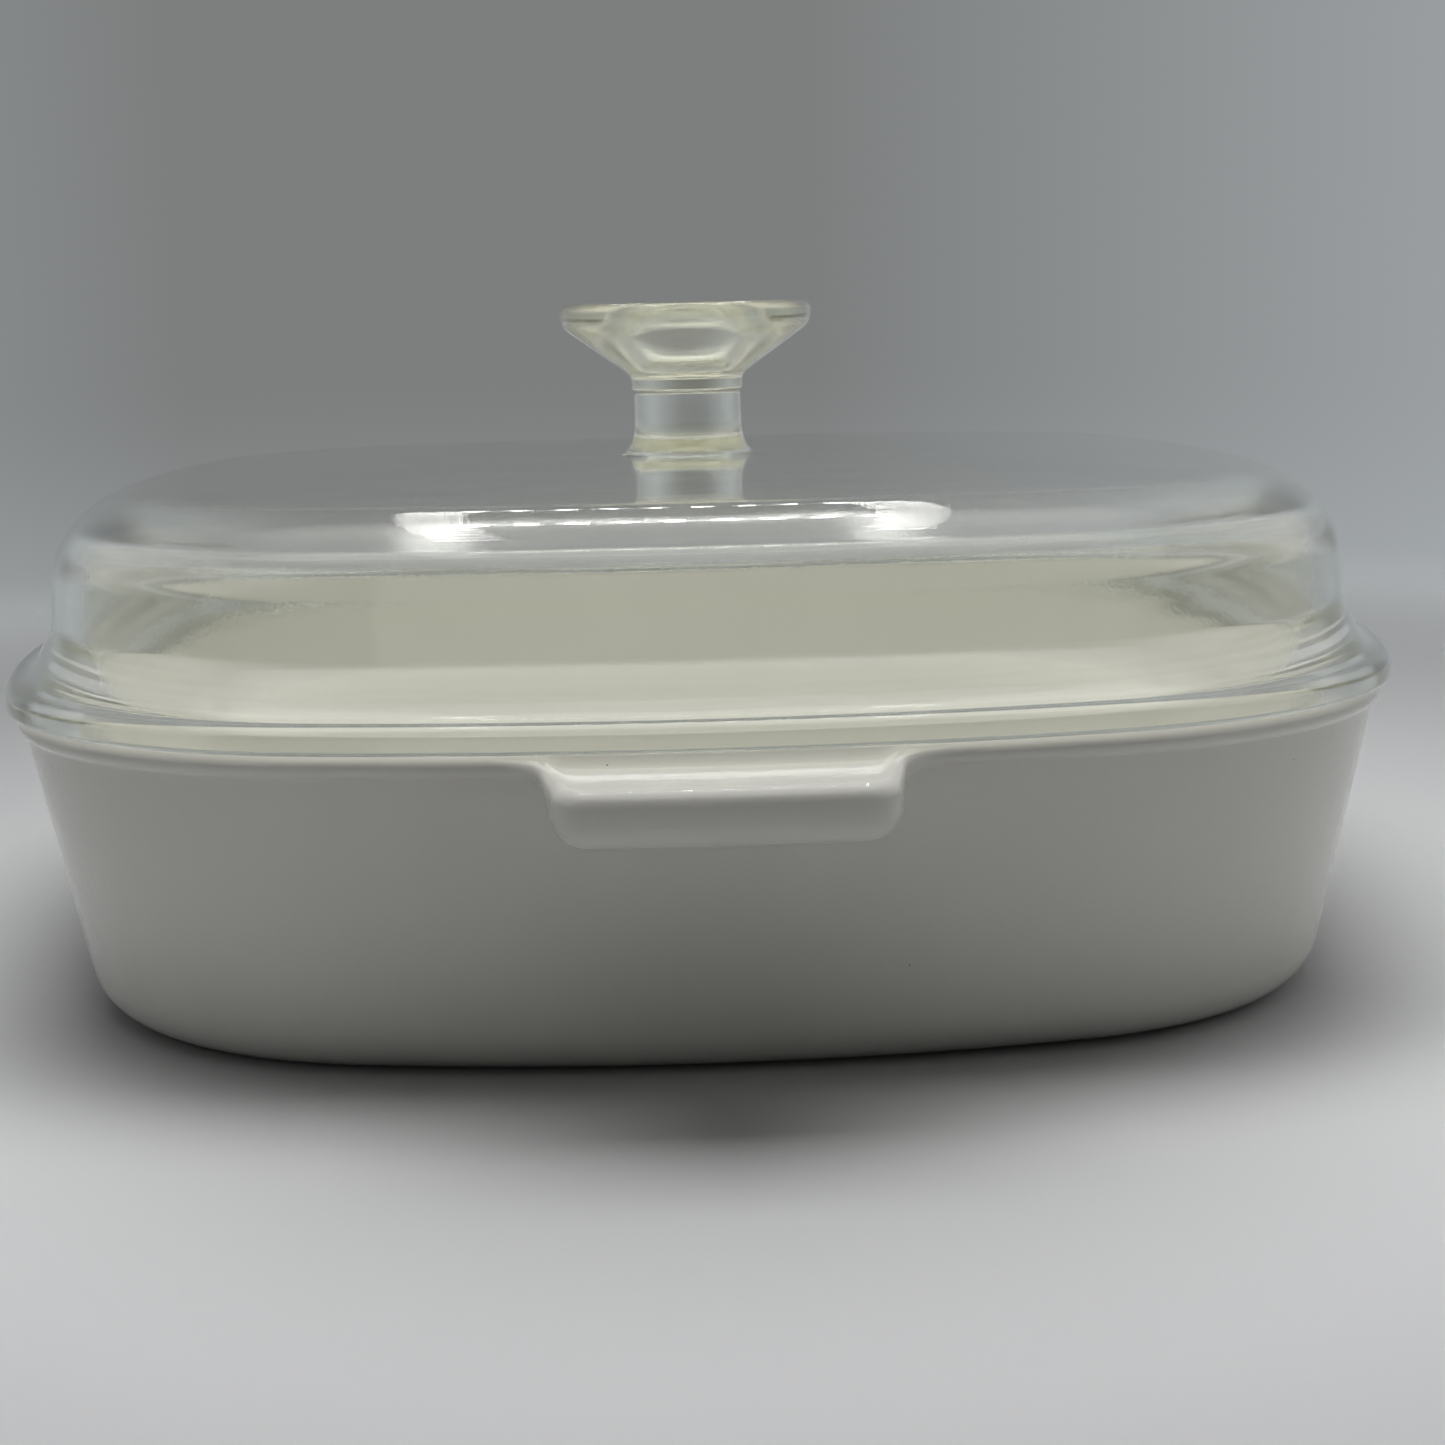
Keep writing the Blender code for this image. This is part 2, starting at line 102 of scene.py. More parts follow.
class NodeWriter:
    """Adds and links the nodes of one tree."""

    def __init__(self, tree: NodeTree) -> None:
        """Keeps the shader or geometry tree that is to be written."""
        self.tree = tree

    def feed(self, node: Node, sockets: Sockets) -> None:
        """Sets or links a node's inputs.

        Args:
            node: the node.
            sockets: input name or index to a value, or to an output socket that feeds it.
        """
        for key, value in sockets.items():
            socket = node.inputs[key]
            if isinstance(value, NodeSocket):
                self.tree.links.new(value, socket)
            else:
                socket.default_value = (*value, 1.0) if socket.type == "RGBA" else value

    def add(self, kind: str, sockets: Sockets | None = None, **settings: Any) -> Node:
        """Adds a node.

        Args:
            kind: the node's type name.
            sockets: its inputs, as in feed.
            settings: properties of the node itself.

        Returns:
            The new node.
        """
        node = self.tree.nodes.new(kind)
        for name, value in settings.items():
            setattr(node, name, value)
        self.feed(node, sockets or {})
        return node

    def math(self, operation: str, *values: Any) -> NodeSocket:
        """Adds a Math node on numbers or sockets, and gives its output."""
        return self.add("ShaderNodeMath", dict(enumerate(values)), operation=operation).outputs[0]

    def vector(self, operation: str, *values: Any) -> NodeOutputs:
        """Adds a Vector Math node on vectors or sockets, and gives its outputs."""
        node = self.add("ShaderNodeVectorMath", dict(enumerate(values)), operation=operation)
        return node.outputs

    def span(
        self, value: Any, start: Spot, end: Spot = (0.0, 1.0), smooth: bool = False
    ) -> NodeSocket:
        """Maps a value from one range to another.

        Args:
            value: the socket to map.
            start: its range.
            end: the range of the result.
            smooth: eases in and out in place of a straight line.

        Returns:
            The mapped, clamped value.
        """
        limits = {"Value": value, "From Min": start[0], "From Max": start[1]}
        limits |= {"To Min": end[0], "To Max": end[1]}
        way = "SMOOTHSTEP" if smooth else "LINEAR"
        return self.add("ShaderNodeMapRange", limits, interpolation_type=way).outputs[0]

    def noise(self, place: Any, scale: float, detail: float = 2.0) -> NodeSocket:
        """Adds a Noise texture of so many features per metre, and gives its factor."""
        inputs = {"Vector": place, "Scale": scale, "Detail": detail}
        return self.add("ShaderNodeTexNoise", inputs).outputs[0]

    def bump(self, height: NodeSocket, distance: float) -> NodeSocket:
        """Adds a Bump node of full strength, and gives its normal."""
        inputs = {"Height": height, "Distance": distance, "Strength": 1.0}
        return self.add("ShaderNodeBump", inputs).outputs[0]

    def unscattered(self) -> NodeSocket:
        """1 for what the eye, gloss and glass see, and 0 after a diffuse bounce."""
        depth = self.add("ShaderNodeLightPath").outputs["Diffuse Depth"]
        return self.math("LESS_THAN", depth, HALF_BOUNCE)

    def blend(self, factor: Any, first: Any, second: Any) -> NodeSocket:
        """Mixes two colours or sockets, from the first at factor 0 to the second at factor 1."""
        sockets = {MIX_FACTOR: factor, MIX_FIRST: first, MIX_SECOND: second}
        return self.add("ShaderNodeMix", sockets, data_type="RGBA").outputs[MIX_RESULT]


class ShapeWriter(NodeWriter):
    """Writes a Geometry Nodes tree that ends in real geometry of a given material."""

    def __init__(self, name: str, inputs: dict[str, str]) -> None:
        """Starts the tree.

        Args:
            name: the tree's name.
            inputs: the kinds of its inputs by name, without the material.
        """
        super().__init__(bpy.data.node_groups.new(name, "GeometryNodeTree"))
        new_socket = self.tree.interface.new_socket
        for label, kind in (inputs | {"Material": "Material"}).items():
            new_socket(label, in_out="INPUT", socket_type=f"NodeSocket{kind}")
        new_socket("Shape", in_out="OUTPUT", socket_type="NodeSocketGeometry")
        self.given = self.add("NodeGroupInput").outputs

    def end(self, shape: NodeSocket) -> NodeTree:
        """Ends the tree.

        Args:
            shape: the geometry.

        Returns:
            The tree.
        """
        real = self.add("GeometryNodeRealizeInstances", {0: shape}).outputs[0]
        dressed = self.add("GeometryNodeSetMaterial", {0: real, "Material": self.given["Material"]})
        self.add("NodeGroupOutput", {0: dressed.outputs[0]})
        return self.tree


def new_material(name: str) -> tuple[Material, NodeWriter, Node, Node]:
    """Makes a node material.

    Args:
        name: the material's name.

    Returns:
        The material, a writer for its tree, its Principled shader and its output node.
    """
    material = bpy.data.materials.new(name)
    material.use_nodes = True
    nodes = material.node_tree.nodes
    shader, output = nodes["Principled BSDF"], nodes["Material Output"]
    return material, NodeWriter(material.node_tree), shader, output


# Finishes


@dataclass(frozen=True)
class CeramicFinish:
    """Gloss white glass ceramic with faint mottling, a soft orange peel and a few pits."""

    name: str
    pale: Colour = (0.83, 0.82, 0.765)
    shade: Colour = (0.80, 0.79, 0.735)
    pit: Colour = (0.16, 0.14, 0.12)
    mottle_scale: float = 45.0
    mottle_detail: float = 4.0
    gloss: Spot = (0.03, 0.08)
    smear_scale: float = 130.0
    smear_detail: float = 3.0
    peel_scale: float = 420.0
    peel_depth: float = 0.00006
    pit_scale: float = 170.0
    pit_size: float = 0.03
    pit_share: float = 0.12
    ior: float = 1.52

    def material(self) -> Material:
        """Writes the node material.

        Returns:
            The finished material.
        """
        material, write, shader, _ = new_material(self.name)
        place = write.add("ShaderNodeTexCoord").outputs["Object"]
        mottle = write.noise(place, self.mottle_scale, self.mottle_detail)
        body = write.blend(mottle, self.shade, self.pale)
        cells = write.add("ShaderNodeTexVoronoi", {"Vector": place, "Scale": self.pit_scale})
        near = write.math("LESS_THAN", cells.outputs["Distance"], self.pit_size)
        chance = write.add("ShaderNodeSeparateColor", {0: cells.outputs["Color"]}).outputs[0]
        pits = write.math("MULTIPLY", near, write.math("LESS_THAN", chance, self.pit_share))
        colour = write.blend(pits, body, self.pit)
        washed = write.noise(place, self.smear_scale, self.smear_detail)
        smear = write.span(washed, NOISE_RANGE, self.gloss)
        bump = write.bump(write.noise(place, self.peel_scale), self.peel_depth)
        write.feed(shader, {"Base Color": colour, "Roughness": smear})
        write.feed(shader, {"Normal": bump, "IOR": self.ior})
        return material


@dataclass(frozen=True)
class GlassFinish:
    """Clear pressed glass: a yellow-green body, level ripples, washed haze under a bright gloss.

    From the foot of the stub upwards the moulded faces are a little softer.
    """

    name: str
    tint: Colour = (0.985, 1.0, 0.98)
    body: Colour = (0.86, 0.87, 0.68)
    density: float = 8.0
    ior: float = 1.47
    ripple_scale: float = 40.0
    ripple_detail: float = 1.0
    ripple_squeeze: Place = (1.0, 1.0, 4.0)
    ripple_depth: float = 0.00008
    grain_scale: float = 1500.0
    grain_detail: float = 0.0
    grain_depth: float = 0.000004
    smear_scale: float = 38.0
    smear_detail: float = 5.0
    gloss: Spot = (0.02, 0.05)
    haze: Spot = (0.06, 0.09)
    soft_range: Spot = (0.092, 0.096)
    soft_gloss: float = 0.10
    shadow: Colour = (1.0, 1.0, 0.985)

    def material(self) -> Material:
        """Writes the node material, which lets the lamps' light through to what is under it.

        Returns:
            The finished material.
        """
        material, write, shader, output = new_material(self.name)
        place = write.add("ShaderNodeTexCoord").outputs["Object"]
        squeezed = write.vector("MULTIPLY", place, self.ripple_squeeze)[0]
        waves = write.noise(squeezed, self.ripple_scale, self.ripple_detail)
        ripple = write.math("MULTIPLY", waves, self.ripple_depth)
        grain = write.noise(place, self.grain_scale, self.grain_detail)
        bump = write.bump(write.math("MULTIPLY_ADD", grain, self.grain_depth, ripple), 1.0)
        smear = write.noise(place, self.smear_scale, self.smear_detail)
        haze = write.span(smear, NOISE_RANGE, self.haze)
        height = write.add("ShaderNodeSeparateXYZ", {0: place}).outputs["Z"]
        soft = write.span(height, self.soft_range, (0.0, self.soft_gloss), smooth=True)
        glass = {
            "Base Color": self.tint,
            "Roughness": write.math("ADD", haze, soft),
            "IOR": self.ior,
            "Normal": bump,
            "Transmission Weight": 1.0,
            "Coat Weight": 1.0,
            "Coat Roughness": write.span(smear, NOISE_RANGE, self.gloss),
            "Coat IOR": self.ior,
            "Coat Normal": bump,
        }
        write.feed(shader, glass)
        shadow_ray = write.add("ShaderNodeLightPath").outputs["Is Shadow Ray"]
        clear = write.add("ShaderNodeBsdfTransparent", {"Color": self.shadow}).outputs[0]
        mixed = write.add("ShaderNodeMixShader", {0: shadow_ray, 1: shader.outputs[0], 2: clear})
        absorb = {"Color": self.body, "Density": self.density}
        volume = write.add("ShaderNodeVolumeAbsorption", absorb)
        write.feed(output, {"Surface": mixed.outputs[0], "Volume": volume.outputs[0]})
        return material


@dataclass(frozen=True)
class FloorFinish:
    """A pale sweep that fades into the backdrop, with a painted shadow close to the dish and
    painted shade that greys it rearwards.
    """

    name: str
    pale: Colour = (0.95, 0.955, 0.97)
    # painted shade: the floor's colour greys towards the rear as if the light fell off there
    painted_rear_shade: Colour = (0.78, 0.79, 0.80)
    painted_rear_shade_range: Spot = (-0.20, 0.05)
    # painted shadow: a darker floor colour round a place in front of the dish, standing in for the
    # shade under and before it
    painted_shadow: Colour = (0.58, 0.585, 0.585)
    painted_shadow_place: Place = (0.0, -0.11, 0.0)
    painted_shadow_range: Spot = (0.03, 0.14)
    roughness: float = 0.75
    fade: Spot = (0.30, 0.80)

    def material(self) -> Material:
        """Writes the node material.

        Returns:
            The finished material.
        """
        material, write, shader, output = new_material(self.name)
        place = write.add("ShaderNodeTexCoord").outputs["Object"]
        fade = write.span(write.vector("LENGTH", place)["Value"], self.fade, smooth=True)
        # painted shade: the floor turns greyer towards the rear
        rearwards = write.add("ShaderNodeSeparateXYZ", {0: place}).outputs["Y"]
        rear_shade_share = write.span(rearwards, self.painted_rear_shade_range, smooth=True)
        pale = write.blend(rear_shade_share, self.pale, self.painted_rear_shade)
        # painted shadow: the floor darkens towards the place in front of the dish
        off = write.vector("DISTANCE", place, self.painted_shadow_place)["Value"]
        colour = write.blend(write.span(off, self.painted_shadow_range, smooth=True), self.painted_shadow, pale)
        clear = write.add("ShaderNodeBsdfTransparent").outputs[0]
        mixed = write.add("ShaderNodeMixShader", {0: fade, 1: shader.outputs[0], 2: clear})
        write.feed(shader, {"Base Color": colour, "Roughness": self.roughness})
        write.feed(output, {"Surface": mixed.outputs[0]})
        return material


@dataclass(frozen=True)
class DiodeFinish:
    """Bright emitters that only gloss and glass show."""

    name: str
    colour: Colour = (1.0, 0.99, 0.96)
    strength: float = 28.0

    def material(self) -> Material:
        """Writes the node material.

        Returns:
            The finished material.
        """
        material, write, shader, output = new_material(self.name)
        strength = write.math("MULTIPLY", write.unscattered(), self.strength)
        glow = write.add("ShaderNodeEmission", {"Color": self.colour, "Strength": strength})
        write.feed(output, {"Surface": glow.outputs[0]})
        write.tree.nodes.remove(shader)
        material.cycles.emission_sampling = "NONE"
        return material


# Sections and plan


def arc(centre: Spot, radius: float, start: float, end: float, steps: int) -> list[Spot]:
    """Points (inset, height) of an arc; angle 0 is out of the wall and a quarter turn is up."""
    turns = np.linspace(start, end, steps + 1)
    return [(centre[0] - radius * cos(a), centre[1] + radius * sin(a)) for a in turns]


def bend(first: Spot, corner: Spot, last: Spot, steps: int) -> list[Spot]:
    """Points of a smooth bend that leaves the first point and meets the last towards a corner.

    Args:
        first: where the bend starts.
        corner: where the two straight runs would meet.
        last: where the bend ends.
        steps: number of chords.

    Returns:
        The points of the bend.
    """
    t = np.linspace(0.0, 1.0, steps + 1)[:, None]
    start, middle, end = np.array((first, corner, last))
    run = (1 - t) ** 2 * start + 2 * t * (1 - t) * middle + t**2 * end
    return [tuple(point) for point in run]


def facing(angle: float) -> np.ndarray:
    """Unit vector in plan, at an angle from +X."""
    return np.array((cos(angle), sin(angle)))


@dataclass(frozen=True)
class Stations:
    """Places round the plan, with the wall's arc and the lip's outline, which a tab pushes out."""

    centre: np.ndarray
    radius: np.ndarray
    normal: np.ndarray
    reach: np.ndarray
    lip_normal: np.ndarray

    def wall(self, inset: Any, height: Any) -> np.ndarray:
        """One ring inset from the plain outline, as in lip."""
        place = self.centre + (self.radius - inset)[:, None] * self.normal
        return np.column_stack((place, np.broadcast_to(height, len(place))))

    def lip(self, inset: Any, height: Any) -> np.ndarray:
        """One ring inset from the lip's outline, tabs included.

        Args:
            inset: distance inwards, one for all or one for each station.
            height: height, likewise.

        Returns:
            The ring's points.
        """
        edge = self.centre + (self.radius + self.reach)[:, None] * self.normal
        place = edge - np.broadcast_to(inset, len(edge))[:, None] * self.lip_normal
        return np.column_stack((place, np.broadcast_to(height, len(place))))


@dataclass(frozen=True)
class TabHandle:
    """A short tab handle, pressed in one with the dish's lip."""

    face_width: float = 0.0380
    reach: float = 0.020
    thickness: float = 0.0092
    drop: float = 0.0020
    corner_radius: float = 0.0060
    flare_radius: float = 0.0090
    side_angle: float = radians(76)
    lower_edge: float = 0.0040
    upper_edge: float = 0.0028
    root_fillet: float = 0.0060
    face_steps: int = 12
    arc_steps: int = 20

    def outline(self) -> list[Place]:
        """Half of the tab's plan, from its middle outwards.

        Returns:
            (distance along the rim, reach, turn of the outline's normal) at each place.
        """
        half_face, count = self.face_width / 2, self.face_steps
        turns = np.linspace(0.0, self.side_angle, self.arc_steps + 1)
        radii = self.corner_radius + self.flare_radius
        side_reach = self.reach - radii * (1 - cos(self.side_angle))
        side_run = side_reach / tan(self.side_angle)
        flare_end = half_face + radii * sin(self.side_angle) + side_run
        places = [(half_face * k / count, self.reach, 0.0) for k in range(count)]
        for turn in turns:
            drop = self.corner_radius * (1 - cos(turn))
            places.append((half_face + self.corner_radius * sin(turn), self.reach - drop, turn))
        for turn in turns[::-1]:
            along = flare_end - self.flare_radius * sin(turn)
            places.append((along, self.flare_radius * (1 - cos(turn)), turn))
        return places

    def share(self, reach: np.ndarray) -> np.ndarray:
        """How far each station has turned from the plain lip, 0, into the tab's face, 1."""
        share = reach / self.reach
        return share**2 * (3 - 2 * share)


@dataclass(frozen=True)
class Outline:
    """The plan of the lip: a square with bowed sides and round corners."""

    rim_width: float = 0.254
    side_radius: float = 0.310
    corner_radius: float = 0.073
    side_steps: int = 56
    corner_steps: int = 44
    rest_steps: int = 14

    def corner(self) -> tuple[float, float]:
        """Where the corner arcs lie.

        Returns:
            A corner centre's distance from both axes, and the angle where a side meets the corner.
        """
        bow = self.side_radius - self.rim_width / 2
        span = self.side_radius - self.corner_radius
        centre = (sqrt(2 * span**2 - bow**2) - bow) / 2
        return centre, atan2(centre, bow + centre)

    def side(self, limit: float, tab: TabHandle | None) -> list[Place]:
        """Places along one bowed side, from its left end to its right end.

        Args:
            limit: the angle of the side's end.
            tab: the tab handle in the middle of the side, if it has one.

        Returns:
            (angle, reach, turn of the outline's normal) at each place.
        """
        if tab is None:
            return [(angle, 0.0, 0.0) for angle in np.linspace(-limit, limit, self.side_steps + 1)]
        half = [(along / self.side_radius, reach, turn) for along, reach, turn in tab.outline()]
        rest = np.linspace(half[-1][0], limit, self.rest_steps + 1)[1:]
        half += [(angle, 0.0, 0.0) for angle in rest]
        return [(-angle, reach, -turn) for angle, reach, turn in half[:0:-1]] + half

    def stations(self, tab: TabHandle | None = None) -> Stations:
        """Stations round the whole plan, counterclockwise from the front side's left end.

        Args:
            tab: the handle on the front and rear sides, if any.

        Returns:
            The stations.
        """
        corner, limit = self.corner()
        rows: list[tuple[Any, ...]] = []
        for side in Side:
            heading = side.value * pi / 2
            middle = (self.rim_width / 2 - self.side_radius) * facing(heading)
            for angle, reach, turn in self.side(limit, tab if side in TAB_SIDES else None):
                normal, lip_normal = facing(heading + angle), facing(heading + angle + turn)
                rows.append((middle, self.side_radius, normal, reach, lip_normal))
            round_centre = corner * (facing(heading) + facing(heading + pi / 2))
            for turn in np.linspace(limit, pi / 2 - limit, self.corner_steps + 1)[1:-1]:
                normal = facing(heading + turn)
                rows.append((round_centre, self.corner_radius, normal, 0.0, normal))
        return Stations(*(np.array(column) for column in zip(*rows)))


def loft(name: str, rings: list[np.ndarray]) -> Mesh:
    """A closed smooth mesh through rings of equal count, with a fan over the first and last ring.

    Args:
        name: the mesh's name.
        rings: the rings, each counterclockwise seen from above where it faces up.

    Returns:
        The mesh.
    """
    count, size = len(rings), len(rings[0])
    points = np.concatenate([*rings, rings[0].mean(axis=0)[None], rings[-1].mean(axis=0)[None]])
    here = np.arange(count * size).reshape(count, size)
    last = np.roll(here, 1, axis=1)
    quads = np.stack((last[:-1], here[:-1], here[1:], last[1:]), axis=-1).reshape(-1, 4)
    foot, top = count * size, count * size + 1
    fans = [(foot, here[0, k], last[0, k]) for k in range(size)]
    fans += [(top, last[-1, k], here[-1, k]) for k in range(size)]
    mesh = bpy.data.meshes.new(name)
    mesh.from_pydata(points.tolist(), [], quads.tolist() + [tuple(map(int, fan)) for fan in fans])
    mesh.shade_smooth()
    return mesh


def linked(name: str, data: Any) -> Object:
    """Adds an object to the scene.

    Args:
        name: the object's name.
        data: its mesh, lamp or camera data.

    Returns:
        The object, at the origin.
    """
    thing = bpy.data.objects.new(name, data)
    bpy.context.scene.collection.objects.link(thing)
    return thing


def place_piece(
    name: str, mesh: Mesh, body: Body, nodes: list[str]
) -> Object:
    """Links a finished piece, in place of the plain nodes that it stands for.

    Args:
        name: the piece's name.
        mesh: its mesh, already in place.
        body: the body that it rides on.
        nodes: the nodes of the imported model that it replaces.

    Returns:
        The piece.
    """
    piece = linked(name, mesh)
    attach(piece, body.value)
    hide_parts(*nodes)
    return piece


# The dish


@dataclass
class Dish:
    """The baking dish: drafted walls, a lip bead, a flat foot and two tab handles."""

    outline: Outline
    finish: CeramicFinish
    tab: TabHandle = TabHandle()
    height: float = 0.0545
    wall: float = 0.0050
    floor: float = 0.0050
    draft: float = radians(11.8)
    lip_radius: float = 0.0019
    lip_proud: float = 0.0011
    lip_groove: float = 0.0014
    rim_edge: float = 0.0012
    foot_radius: float = 0.0094
    basin_radius: float = 0.014
    edge_steps: int = 8
    foot_steps: int = 12
    basin_steps: int = 16

    def outer_inset(self, height: float) -> float:
        """Inset of the outer wall from the lip's outline, at a height over the foot."""
        return self.lip_proud + (self.height - 2 * self.lip_radius - height) * tan(self.draft)

    def inner_inset(self, height: float) -> float:
        """Inset of the inner wall from the lip's outline, at a height over the foot."""
        return self.outer_inset(height) + self.wall / cos(self.draft)

    def lip_section(self) -> list[Spot]:
        """The plain lip's outer section, from the wall below a tab's root up over the bead.

        Returns:
            The section's points.
        """
        tab, steps = self.tab, self.edge_steps
        root_height = self.height - tab.drop - tab.thickness - tab.root_fillet
        root = (self.outer_inset(root_height), root_height)
        bead_foot = self.height - 2 * self.lip_radius
        groove = (self.outer_inset(bead_foot - self.lip_groove), bead_foot - self.lip_groove)
        middle = ((root[0] + groove[0]) / 2, (root[1] + groove[1]) / 2)
        centre = (self.lip_radius, self.height - self.lip_radius)
        bead = arc(centre, self.lip_radius, -pi / 3, pi / 2, 3 * steps + 1)
        return [root, middle] + bend(groove, (self.lip_proud, bead_foot), bead[0], steps) + bead[1:]

    def tab_section(self, root: Spot, land: Spot) -> tuple[list[Spot], list[Spot], list[Spot]]:
        """A tab's section from the wall's root to the rim's land.

        Args:
            root: where the underside's fillet leaves the wall.
            land: where the riser meets the flat rim.

        Returns:
            Its underside on the wall, the edges along its outline, and its riser on the wall.
        """
        tab, steps = self.tab, self.edge_steps
        top = self.height - tab.drop
        underside = top - tab.thickness
        wall = self.outer_inset(underside)
        under = bend(root, (wall, underside), (wall - tab.root_fillet, underside), steps)
        lower = (tab.lower_edge, underside + tab.lower_edge)
        upper = (tab.upper_edge, top - tab.upper_edge)
        edges = arc(lower, tab.lower_edge, -pi / 2, 0, steps)
        edges += arc(upper, tab.upper_edge, 0, pi / 2, steps)
        riser = bend((-tab.drop / 2, top), (self.lip_radius / 2, top), land, steps)
        return under, edges, riser

    def lip_rings(self, stations: Stations) -> list[np.ndarray]:
        """Rings of the lip, turning from the plain bead into the tab's section along each flare.

        Args:
            stations: the places round the plan.

        Returns:
            The rings, from the wall upwards.
        """
        plain = self.lip_section()
        under, edges, riser = self.tab_section(plain[0], plain[-1])
        on_lip = range(len(under), len(under) + len(edges))
        share = self.tab.share(stations.reach)
        rings = []
        for k, (bead, tab) in enumerate(zip(plain, under + edges + riser)):
            inset, height = (b + share * (t - b) for b, t in zip(bead, tab))
            ring = stations.lip if k in on_lip else stations.wall
            rings.append(ring(inset, height))
        return rings

    def rings(self) -> list[np.ndarray]:
        """Rings of the dish from the edge of its foot, up outside, over the rim and down inside.

        Returns:
            The rings.
        """
        up, round_foot = sin(self.draft), self.foot_radius
        foot_inset = self.outer_inset(round_foot * (1 - up)) + round_foot * cos(self.draft)
        foot = arc((foot_inset, round_foot), round_foot, -pi / 2, -self.draft, self.foot_steps)
        rim_inner = self.inner_inset(self.height)
        rim_start = (rim_inner - self.rim_edge, self.height)
        rim_foot = self.height - self.rim_edge
        rim_end = (self.inner_inset(rim_foot), rim_foot)
        rim = bend(rim_start, (rim_inner, self.height), rim_end, self.edge_steps)
        basin_rise = self.floor + self.basin_radius * (1 - up)
        basin_inset = self.inner_inset(basin_rise) + self.basin_radius * cos(self.draft)
        basin_centre = (basin_inset, self.floor + self.basin_radius)
        basin = arc(basin_centre, self.basin_radius, -self.draft, -pi / 2, self.basin_steps)
        stations = self.outline.stations(self.tab)
        rings = [stations.wall(*spot) for spot in foot] + self.lip_rings(stations)
        return rings + [stations.wall(*spot) for spot in rim + basin]

    def build(self) -> Object:
        """Builds the dish."""
        mesh = loft("dish_body", self.rings())
        return place_piece("dish_body", mesh, Body.DISH, ["dish"])

    def dress(self, piece: Object) -> None:
        """Puts the glaze on the built dish."""
        piece.data.materials.append(self.finish.material())


# The lid


@dataclass(frozen=True)
class Shoulder:
    """One face of the lid's shoulder: a tight arc off the wall, then a slower one to the crown."""

    low: float
    high: float
    turn: float
    steps: int = 24

    def section(
        self, wall: Callable[[float], float], draft: float, end: float, top: float
    ) -> list[Spot]:
        """The face's points, from the wall up to the crown's edge.

        Args:
            wall: the wall's inset at a height.
            draft: the wall's lean.
            end: the angle where the crown takes over.
            top: the height of the crown's edge.

        Returns:
            The section's points.
        """
        high_height = top - self.high * sin(end)
        low_height = high_height + (self.high - self.low) * sin(self.turn)
        low_inset = wall(low_height + self.low * sin(draft)) + self.low * cos(draft)
        high_inset = low_inset + (self.high - self.low) * cos(self.turn)
        first = arc((low_inset, low_height), self.low, draft, self.turn, self.steps)
        return first + arc((high_inset, high_height), self.high, self.turn, end, self.steps)[1:]


